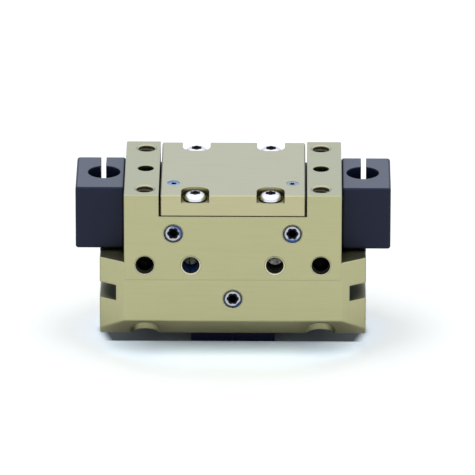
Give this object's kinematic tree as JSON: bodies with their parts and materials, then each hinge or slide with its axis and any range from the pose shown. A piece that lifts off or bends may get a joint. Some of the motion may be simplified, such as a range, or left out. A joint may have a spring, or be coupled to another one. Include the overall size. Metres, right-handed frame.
{
  "type": "parallel gripper",
  "caption": "Compact pneumatic parallel gripper: block housing, bolted cylinder cover, wedge-hook driven T-slot jaws and black clamp blocks for round sensors.",
  "frame": {"origin": "on the resting plane under the closed jaws, midway between them", "axes": "+X along the jaw travel, -Y out of the face with the air ports, +Z out of the mounting side"},
  "size_m": [0.079, 0.0368, 0.0441],
  "materials": {
    "hard_anodised_aluminium": "hard anodised, olive grey, satin",
    "glass_filled_polyamide": "moulded, fine matt grain, black",
    "stainless_screws": "bright stainless steel",
    "plated_plugs": "zinc-plated steel, blue thread-locking residue",
    "nitrided_steel": "nitrided and blackened, satin",
    "ground_steel": "hardened and ground",
    "piston_aluminium": "turned",
    "bearing_bronze": "sintered bronze",
    "seal_rubber": "nitrile rubber, black",
    "slide_ring_plastic": "filled slide plastic"
  },
  "bodies": {
    "housing": {"housing": "hard_anodised_aluminium", "cylinder_cover": "hard_anodised_aluminium", "cover_seal": "seal_rubber", "cover_screws": "stainless_screws", "cover_port_plugs": "plated_plugs", "left_gallery_plug": "plated_plugs", "right_gallery_plug": "plated_plugs", "purge_port_plug": "plated_plugs", "rod_bush": "bearing_bronze", "rod_seal": "seal_rubber", "lower_bumper": "seal_rubber", "left_sensor_holder": "glass_filled_polyamide", "right_sensor_holder": "glass_filled_polyamide", "left_holder_screws": "stainless_screws", "right_holder_screws": "stainless_screws", "left_clamp_screw": "stainless_screws", "right_clamp_screw": "stainless_screws", "left_clamp_nut": "stainless_screws", "right_clamp_nut": "stainless_screws"},
    "piston": {"piston": "piston_aluminium", "piston_guide_ring": "slide_ring_plastic", "piston_seal": "seal_rubber", "piston_rod": "ground_steel", "piston_screw": "stainless_screws", "wedge_hook": "ground_steel"},
    "left_jaw": {"left_jaw": "nitrided_steel"},
    "right_jaw": {"right_jaw": "nitrided_steel"}
  },
  "joints": [
    {"name": "right_jaw_slide", "type": "slide", "parent": "housing", "child": "right_jaw", "axis": [1, 0, 0], "range_m": [0, 0.006]},
    {"name": "left_jaw_slide", "type": "slide", "parent": "housing", "child": "left_jaw", "axis": [-1, 0, 0], "range_m": [0, 0.006]},
    {"name": "piston_slide", "type": "slide", "parent": "housing", "child": "piston", "axis": [0, 0, -1], "range_m": [0, 0.008]}
  ],
  "couplings": [
    {"joint": "left_jaw_slide", "follows": "right_jaw_slide", "ratio": 1},
    {"joint": "piston_slide", "follows": "right_jaw_slide", "ratio": 1.3333}
  ]
}
